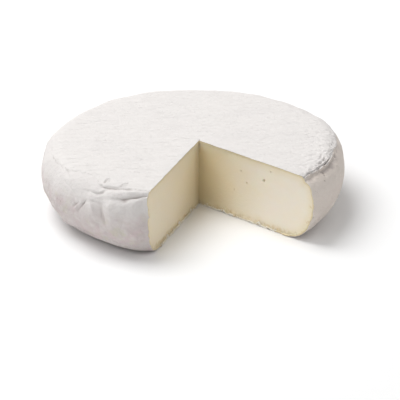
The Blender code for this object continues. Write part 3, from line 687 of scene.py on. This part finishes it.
streaks = times(tree, bare, patches(tree, (2.6, 2.6, 9), 0.5, 0.75))
colour = tinted(tree, colour, times(tree, streaks, 0.25), BARE_STREAK)
right_side = times(tree, bare, ramp(tree, own[0], 60 * MM, 84 * MM))
colour = tinted(tree, colour, times(tree, right_side, 0.75), RIGHT_WALL)
colour = tinted(tree, colour, times(tree, marked(tree, "under_lip"), 0.35), LIP_SHADE)
# Painted shade: the rind turns grey where its relief sinks deep, in the creases of the folds.
painted_crease_shade = ramp(tree, marked(tree, "hollow"), 0.9, 2.4)
colour = tinted(tree, colour, times(tree, painted_crease_shade, 0.7), CREASE_PAINTED_SHADE)
# Painted shade: the pits are darkened to brown inside.
colour = tinted(tree, colour, times(tree, marked(tree, "pit"), 0.85), PIT_PAINTED_SHADE)
specks = times(tree, crest, patches(tree, (1.5, 1.5, 1.5), 0.50, 0.62))
colour = tinted(tree, colour, times(tree, specks, 0.3), CREST_SPECK)
under_skin = marked(tree, "under_skin")
colour = tinted(tree, colour, ramp(tree, under_skin, 0.12, 0.4), RIM_TAN)
colour = tinted(tree, colour, ramp(tree, under_skin, 0.6, 1.0), INNER_IVORY)
tree.links.new(colour, surface["Base Color"])
ridges = times(tree, felt, patches(tree, (13, 3.0, 5), 0.35, 0.8))
normal = bumped(tree, ridges, 0.56)
wall_dents = times(tree, low_on_wall, patches(tree, (5.5, 5.5, 5), 0.3, 0.75))
normal = bumped(tree, wall_dents, 0.8, normal)
scales = times(tree, crest, patches(tree, (1.6, 1.6, 1.6), 0.38, 0.62))
normal = bumped(tree, scales, 0.4, normal)
for size, start, end, height in FINE_BUMPS:
    normal = bumped(tree, patches(tree, size, start, end), height, normal)
tree.links.new(normal, surface["Normal"])
rind.data.materials.append(white_rind)

# The paste: one body of ripe ivory cheese inside the rind. Its two cut faces are fine sheets stretched
# between the lines where the rind ends, a little behind them, with eyes in the right one and a crumbly
# edge along the foot.
FACE_COLUMNS = 231
FACE_RECESS = 0.15 * MM
PASTE_OVERLAP = 0.35 * MM
HIDDEN_DEPTH = 5 * MM
FOOT_RIND_THICKNESS = 0.9 * MM

# Eyes of the right cut: distance from the cut point, height and radius in millimetres
EYES = ((35.2, 22.0, 0.9), (41.5, 39.6, 0.95), (47.3, 31.5, 0.95), (63.7, 38.4, 1.4), (70.1, 47.4, 0.7))


def stretch_sheet(top, outer, bottom, inner):
    """A sheet between four edges: the straight blend across, plus the blend up, less the blend of the
    four corners. Rows run from the top edge to the bottom one."""
    across = np.linspace(0, 1, len(top))[None, :, None]
    down = ((inner[0, 1] - inner[:, 1]) / (inner[0, 1] - inner[-1, 1]))[:, None, None]
    between_sides = (1 - across) * inner[:, None] + across * outer[:, None]
    between_ends = (1 - down) * top[None] + down * bottom[None]
    corners = (1 - down) * ((1 - across) * top[0] + across * top[-1]) + down * (
        (1 - across) * bottom[0] + across * bottom[-1])
    return between_sides + between_ends - corners


def rind_line(angle, shares, drops):
    """Where the rind ends and the paste starts in a cut: distance from the cut point, and height."""
    line_rows = rind_rows(shares, drops)
    line = rind_surface(np.array([angle]), line_rows, RIND_THICKNESS - PASTE_OVERLAP)[0][:, 0]
    return np.stack([(line[:, :2] - CUT_POINT) @ spokes_at(angle), line[:, 2]], axis=1)


def cut_face(angle, side, seed, eyes):
    """One cut face in the notch: the stretched sheet, moved out or in by slow waves, the knife's fine
    drag lines, crumbs near the rind and eyes. Gives its points, their distance from the rind in millimetres
    and 1 inside the eyes."""
    spoke = spokes_at(angle)
    shares = np.linspace(0, 1, FACE_COLUMNS)
    top = rind_line(angle, shares, ())
    wall = rind_line(angle, (), wall_drops)
    foot_reach = shares * wall[-1, 0]
    foot_y = CUT_POINT[1] + foot_reach * spoke[1]
    foot = np.stack([foot_reach, mat_groove(foot_y) + FOOT_RIND_THICKNESS - 0.3 * MM], axis=1)
    wall[0] = top[-1]
    foot[-1] = wall[-1]
    plain_heights = np.interp(wall_drops, SECTION[0], SECTION[2])
    heights = np.interp(plain_heights, (0, WHEEL_HEIGHT), (foot[0, 1], top[0, 1]))
    inner = np.stack([np.zeros(len(heights)), heights], axis=1)
    sheet = stretch_sheet(top, wall, foot, inner)
    border = np.concatenate([top[::3], wall, foot[::3]])
    under_rind = np.array([
        np.min(np.hypot(*(row[:, None] - border[None]).transpose(2, 0, 1)), axis=1) for row in sheet
    ])
    level = CUT_POINT + sheet[..., :1] * spoke
    places = np.concatenate([level, sheet[..., 1:]], axis=-1)
    height = sheet[..., 1]
    wave = 0.22 * soft_noise(places, (26 * MM, 26 * MM, 60 * MM), seed)
    drag = 0.05 * soft_noise(places, (2.2 * MM, 2.2 * MM, 24 * MM), seed + 1)
    near_foot = (1 - ease(height, 2.5 * MM, 6 * MM)) * ease(height, 0.9 * MM, 1.8 * MM)
    near_wall = (1 - ease(under_rind, 1.5 * MM, 3.5 * MM)) * (1 - ease(height, 30 * MM, 46 * MM))
    crumbs = 0.4 * soft_noise(places, 3.2 * MM, seed + 2) + 0.2 * soft_noise(places, 1.3 * MM, seed + 3)
    out = (wave + drag + crumbs * (near_foot + 0.4 * near_wall)) * MM * ease(under_rind, 0, 1.5 * MM)
    in_eye = np.zeros(height.shape)
    for eye_reach, eye_height, radius in eyes:
        distance = np.hypot(sheet[..., 0] / MM - eye_reach, (height / MM - eye_height) * 1.15) / radius
        out -= radius * MM * np.sqrt(np.maximum(1 - distance ** 2, 0)) * 1.3
        out += 0.18 * MM * bell(distance - 1.35, 0.3)
        in_eye = np.maximum(in_eye, 1 - ease(distance, 0.7, 1.1))
    out = (out - FACE_RECESS) * ease(sheet[..., 0], 0, 14 * MM)
    into_notch = side * np.array((-spoke[1], spoke[0]))
    places[..., :2] += out[..., None] * into_notch
    return places, under_rind / MM, in_eye


right_face, right_under, right_eyes = cut_face(RIGHT_CUT_ANGLE, -1, 41, EYES)
left_face, left_under, left_eyes = cut_face(LEFT_CUT_ANGLE, 1, 51, ())
body_angles = np.linspace(RIGHT_CUT_ANGLE + 4, LEFT_CUT_ANGLE - 4, 34)
shares = np.linspace(0, 1, FACE_COLUMNS)
body_rows = rind_rows(shares, wall_drops[1:])
body_skin = rind_surface(body_angles, body_rows, HIDDEN_DEPTH)[0]
foot_edge = body_skin[-1]
foot_centre = np.concatenate([CUT_POINT, [4 * MM]])
foot_shares = shares[::-1][1:, None, None]
under_body = foot_centre + foot_shares * (foot_edge - foot_centre)
under_body[..., 2] = np.maximum(under_body[..., 2], 3.6 * MM * ease(1 - foot_shares[..., 0], 0, 0.06))
body_skin = np.concatenate([body_skin, under_body])


def face_border(face):
    """The face's edge from the top's inner end, round the outer end, to the foot's inner end."""
    return np.concatenate([face[0], face[1:, -1], face[-1, -2::-1]])


borders = [face_border(face)[:, None] for face in (right_face, left_face)]
body = np.concatenate([borders[0], body_skin, borders[1]], axis=1)
paste = closed_piece(
    "paste",
    [right_face, left_face, body],
    {
        "under_rind": [right_under, left_under, np.zeros(body.shape[:2])],
        "eye": [right_eyes, left_eyes, np.zeros(body.shape[:2])],
    },
)
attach(paste, "root")
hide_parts("brie_wheel")
IVORY = (0.91, 0.84, 0.72)
WARM_IVORY = (0.92, 0.81, 0.64)
NOTCH_PAINTED_SHADE = (0.80, 0.68, 0.44)
POINT_SHADE = (0.62, 0.50, 0.27)
LEFT_FACE_PAINTED_SHADE = (0.83, 0.70, 0.47)
NEAR_RIND = (0.84, 0.73, 0.52)
RIND_BORDER = (0.76, 0.64, 0.40)
RIND_STAIN = (0.70, 0.56, 0.32)
TORN_PASTE_AND_SHADE = (0.66, 0.53, 0.31)
FRAYED_PASTE_AND_SHADE = (0.66, 0.50, 0.24)
EYE_SHADE = (0.62, 0.50, 0.30)

ivory_paste, tree, surface = new_material("ivory_paste", 0.5, 0.3)
own = add_node(tree, "SeparateXYZ", {0: add_node(tree, "TexCoord").outputs["Object"]}).outputs
from_rind = marked(tree, "under_rind")
clouds = times(tree, patches(tree, (16, 16, 12), 0.4, 0.7), 0.4)
colour = tinted(tree, (*IVORY, 1), clouds, WARM_IVORY)
cut_point = (*(CUT_POINT + TURNING_AXIS.xy), WHEEL_HEIGHT / 2)
from_point = add_node(tree, "VectorMath", {0: add_node(tree, "TexCoord").outputs["Object"], 1: cut_point},
                      operation="DISTANCE").outputs["Value"]
# Painted shade and warm bounce light: the paste turns darker and more golden towards the cut point, deep in
# the notch.
colour = tinted(tree, colour, times(tree, ramp(tree, from_point, 75 * MM, 8 * MM), 0.8), NOTCH_PAINTED_SHADE)
left_side = ramp(tree, own[0], 2 * MM, -16 * MM)
at_point = times(tree, ramp(tree, own[0], 34 * MM, 4 * MM), ramp(tree, own[0], 0, 5 * MM))
colour = tinted(tree, colour, times(tree, at_point, 0.55), POINT_SHADE)
# Painted shade: the left cut face is made darker and more golden than the right one.
colour = tinted(tree, colour, times(tree, left_side, 0.5), LEFT_FACE_PAINTED_SHADE)
colour = tinted(tree, colour, times(tree, ramp(tree, from_rind, 8.0, 1.0), 0.55), NEAR_RIND)
above_foot = ramp(tree, own[2], 3 * MM, 9 * MM)
border = times(tree, ramp(tree, from_rind, 1.7, 0.7), times(tree, above_foot, 0.6))
colour = tinted(tree, colour, border, RIND_BORDER)
stained = times(tree, ramp(tree, from_rind, 5.5, 1.0), patches(tree, (3, 3, 3), 0.52, 0.66))
stained = times(tree, stained, ramp(tree, own[2], 44 * MM, 34 * MM))
colour = tinted(tree, colour, times(tree, stained, 0.75), RIND_STAIN)
# Along the foot of the cuts the paste is darker and browner in patches: partly torn paste, partly painted
# shade low in the notch, and more of it on the left cut.
waver = times(tree, patches(tree, (3, 3, 9), 0.3, 0.7), 3.5 * MM)
uneven_height = add_node(tree, "Math", {0: own[2], 1: waver}, operation="SUBTRACT").outputs[0]
torn_paste_and_shade = times(tree, ramp(tree, uneven_height, 3 * MM, 0.5 * MM), patches(tree, (2.4, 2.4, 1.6), 0.3, 0.6))
colour = tinted(tree, colour, times(tree, torn_paste_and_shade, 0.5), TORN_PASTE_AND_SHADE)
lower_edge = ramp(tree, uneven_height, 4.5 * MM, 2 * MM)
frayed_paste_and_shade = times(tree, lower_edge, patches(tree, (3.2, 3.2, 2.4), 0.42, 0.58))
colour = tinted(tree, colour, times(tree, times(tree, frayed_paste_and_shade, left_side), 0.5), FRAYED_PASTE_AND_SHADE)
colour = tinted(tree, colour, times(tree, marked(tree, "eye"), 0.6), EYE_SHADE)
tree.links.new(colour, surface["Base Color"])
surface["Subsurface Weight"].default_value = 0.25
surface["Subsurface Radius"].default_value = (1, 0.6, 0.3)
surface["Subsurface Scale"].default_value = 2.5 * MM
normal = bumped(tree, patches(tree, (2.6, 2.6, 2.2), 0.3, 0.7), 0.10)
normal = bumped(tree, patches(tree, (0.7, 0.7, 0.7), 0.3, 0.7), 0.05, normal)
tree.links.new(normal, surface["Normal"])
paste.data.materials.append(ivory_paste)

# The rind under the foot: a thinner plate of the same mould, pressed into straight grooves by the
# draining mat. Where the knife went through, it ends in ragged flakes that stand out from the paste.
FOOT_SHEET_RADIUS = 81 * MM
FOOT_SHEET_LIFT = 0.05 * MM
FLAKE_CURL = 0.85

# Flakes along each cut: distance from the cut point, half width and reach in millimetres
LEFT_FLAKES = (
    (8, 2.5, 0.8), (22, 2.2, 0.9), (27.6, 2.4, 2.0), (37, 2.2, 1.8), (46.9, 2.6, 2.4), (53, 1.6, 0.9),
    (59.7, 2.4, 2.4), (70, 2.0, 1.2), (75.5, 1.8, 2.0), (79, 1.8, 2.4),
)
RIGHT_FLAKES = (
    (10, 2.5, 0.7), (21, 2.0, 1.2), (33, 2.6, 1.6), (40, 1.8, 0.8), (52, 2.4, 1.5), (61, 2.0, 1.1),
    (70, 2.6, 1.7), (77.5, 2.2, 1.5),
)


def ragged_edge(reach, flakes, seed):
    """How far the foot's rind stands out into the notch along a cut."""
    out = 0.25 + 0.3 * soft_noise(np.stack([reach, 0 * reach, 0 * reach], axis=-1), 1.6 * MM, seed)
    for middle, half_width, flake_reach in flakes:
        out += flake_reach * np.maximum(1 - np.abs((reach / MM - middle) / half_width) ** 1.6, 0)
    return np.maximum(out, 0) * MM


def foot_patch(angle, side, flakes, seed):
    """The half of the plate on one side of the cut point: lines of points parallel to X, from the cut,
    or behind the cut point from the line straight behind it, out to the rim."""
    spoke = spokes_at(angle)
    first_y = CUT_POINT[1] + 0.999 * spoke[1] * spoke_length(spoke, FOOT_SHEET_RADIUS)
    grooves = MAT_GROOVE_Y - MAT_PITCH * np.arange(-4, 4)
    groove_lines = np.add.outer(grooves, MAT_GROOVE_HALF_WIDTH * np.array((-1, 0, 1)))
    beside_notch = np.arange(first_y, CUT_POINT[1], 0.7 * MM)
    behind_notch = np.arange(CUT_POINT[1] + 3 * MM, 0.994 * FOOT_SHEET_RADIUS, 3 * MM)
    lines = np.concatenate([beside_notch, [CUT_POINT[1]], behind_notch, groove_lines.ravel()])
    y = np.unique(lines[lines >= first_y])
    reach = np.maximum(CUT_POINT[1] - y, 0) / -spoke[1]
    ragged = ragged_edge(reach, flakes, seed)
    start = CUT_POINT[0] + reach * spoke[0] + side * ragged * ease(reach, 0, 3 * MM)
    end = -side * np.sqrt(np.maximum(FOOT_SHEET_RADIUS ** 2 - y ** 2, 0))
    shares = np.linspace(0, 1, 36) ** 1.6
    x = start[:, None] + shares * (end - start)[:, None]
    y = np.broadcast_to(y[:, None], x.shape)
    from_tip = np.abs(x - start[:, None]) / MM
    curl = FLAKE_CURL * ragged[:, None] * (1 - ease(from_tip, 0, 3.2)) * (y < CUT_POINT[1])
    return np.stack([x, y, mat_groove(y) + FOOT_SHEET_LIFT + curl], axis=-1)


foot = closed_piece("foot_rind", [foot_patch(RIGHT_CUT_ANGLE, -1, RIGHT_FLAKES, 61),
                                  foot_patch(LEFT_CUT_ANGLE, 1, LEFT_FLAKES, 62)], {})
plate = foot.modifiers.new("Thickness", "SOLIDIFY")
plate.thickness = FOOT_RIND_THICKNESS
plate.offset = 1
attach(foot, "root")
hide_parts("brie_wheel")
foot_rind, tree, surface = new_material("foot_rind", 0.85, 0.2)
# Painted light: the plate is a lighter white than the felt of the top, so that its flake tips read bright
# in the shade of the notch.
colour = tinted(tree, (0.97, 0.93, 0.84, 1), patches(tree, (4, 4, 4), 0.5, 0.75), (0.88, 0.79, 0.62))
tree.links.new(colour, surface["Base Color"])
tree.links.new(bumped(tree, patches(tree, (1.5, 1.5, 1.5), 0.3, 0.7), 0.15), surface["Normal"])
foot.data.materials.append(foot_rind)

# Crumbs and torn flakes of paste and rind that the knife left along the lower edges of the cuts.
CRUMBS_PER_CUT = 34


def scatter_crumbs():
    """Small lumps of uneven form, half sunk into the cuts' lower edges and at their outer corners."""
    chance = np.random.default_rng(71)
    shape = bmesh.new()
    for angle, side in ((RIGHT_CUT_ANGLE, -1), (LEFT_CUT_ANGLE, 1)):
        spoke = spokes_at(angle)
        into_notch = side * np.array((-spoke[1], spoke[0]))
        for number in range(CRUMBS_PER_CUT):
            size = chance.uniform(0.3, 0.9) * MM
            reach = chance.uniform(8, 86) * MM
            height = mat_groove(CUT_POINT[1] + reach * spoke[1]) + 0.9 * MM + chance.exponential(0.7) * MM
            place = CUT_POINT + reach * spoke + 0.25 * size * into_notch
            lump = bmesh.ops.create_icosphere(shape, subdivisions=2, radius=1)["verts"]
            points = np.array([vertex.co for vertex in lump])
            points *= size * (1 + 0.35 * soft_noise(points + 9 * number, 0.8, 72 + number))[:, None]
            points *= chance.uniform(0.55, 1.3, 3)
            points[:, :2] += place + TURNING_AXIS.xy
            points[:, 2] += max(height, size * 1.3)
            for vertex, point in zip(lump, points):
                vertex.co = point
    mesh = bpy.data.meshes.new("crumbs")
    shape.to_mesh(mesh)
    shape.free()
    mesh.shade_smooth()
    piece = bpy.data.objects.new("crumbs", mesh)
    bpy.context.scene.collection.objects.link(piece)
    return piece


crumbs = scatter_crumbs()
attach(crumbs, "root")
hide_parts("brie_wheel")
crumb, tree, surface = new_material("crumb", 0.6, 0.3)
colour = tinted(tree, (0.90, 0.83, 0.70, 1), patches(tree, (5, 5, 5), 0.5, 0.62), (0.74, 0.60, 0.38))
tree.links.new(colour, surface["Base Color"])
crumbs.data.materials.append(crumb)

# The table and the light: a plain pale floor in an even white room, with a large soft light high on
# the left and a little behind, and two weak ones in front and on the right, as the photograph's shades
# show.
bpy.ops.mesh.primitive_plane_add(size=8)
floor = bpy.context.object
floor.name = "floor"
pale = bpy.data.materials.new("pale_floor")
pale.use_nodes = True
pale.node_tree.nodes["Principled BSDF"].inputs["Base Color"].default_value = (0.95, 0.95, 0.95, 1)
pale.node_tree.nodes["Principled BSDF"].inputs["Roughness"].default_value = 0.9
floor.data.materials.append(pale)
world = bpy.data.worlds.new("World")
world.use_nodes = True
world.node_tree.nodes["Background"].inputs["Color"].default_value = (1, 1, 1, 1)
world.node_tree.nodes["Background"].inputs["Strength"].default_value = 0.37
bpy.context.scene.world = world


def add_softbox(name, place, width, watts):
    """A round soft light that shines on the wheel's middle."""
    softbox = bpy.data.lights.new(name, "AREA")
    softbox.shape = "DISK"
    softbox.size = width
    softbox.energy = watts
    stand = bpy.data.objects.new(name, softbox)
    stand.location = place
    stand.rotation_euler = (wheel_middle - stand.location).to_track_quat("-Z", "Y").to_euler()
    bpy.context.scene.collection.objects.link(stand)


add_softbox("key_light", (-0.72, 0.45, 1.67), 1.6, 29.5)
add_softbox("front_light", (-0.9, -1.1, 1.2), 1.2, 4)
add_softbox("right_light", (1.4, 0.3, 1.3), 1.4, 4.5)
bpy.context.scene.view_settings.view_transform = "Standard"
